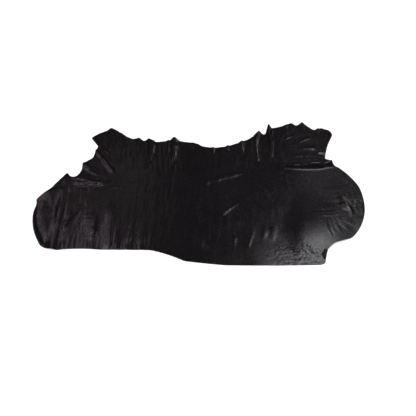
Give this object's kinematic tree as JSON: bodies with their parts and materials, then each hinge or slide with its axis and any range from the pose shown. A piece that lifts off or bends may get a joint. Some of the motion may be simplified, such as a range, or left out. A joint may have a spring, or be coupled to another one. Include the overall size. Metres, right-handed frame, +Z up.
{
  "type": "leather hide",
  "caption": "Black semi-gloss leather side, half a cowhide cut along the backbone, lying loose with ruffled belly edge and shallow folds.",
  "frame": {"origin": "middle of the hide's box in X and Y, on the surface that the hide lies on", "axes": "+X along the backbone cut, +Y from the backbone cut to the belly and shanks, +Z up out of the grain side"},
  "size_m": [2.1916, 1.2856, 0.037],
  "materials": {
    "leather": "black, semi-gloss, fine pebbled grain"
  },
  "bodies": {
    "root": {"hide": "leather"}
  },
  "joints": []
}
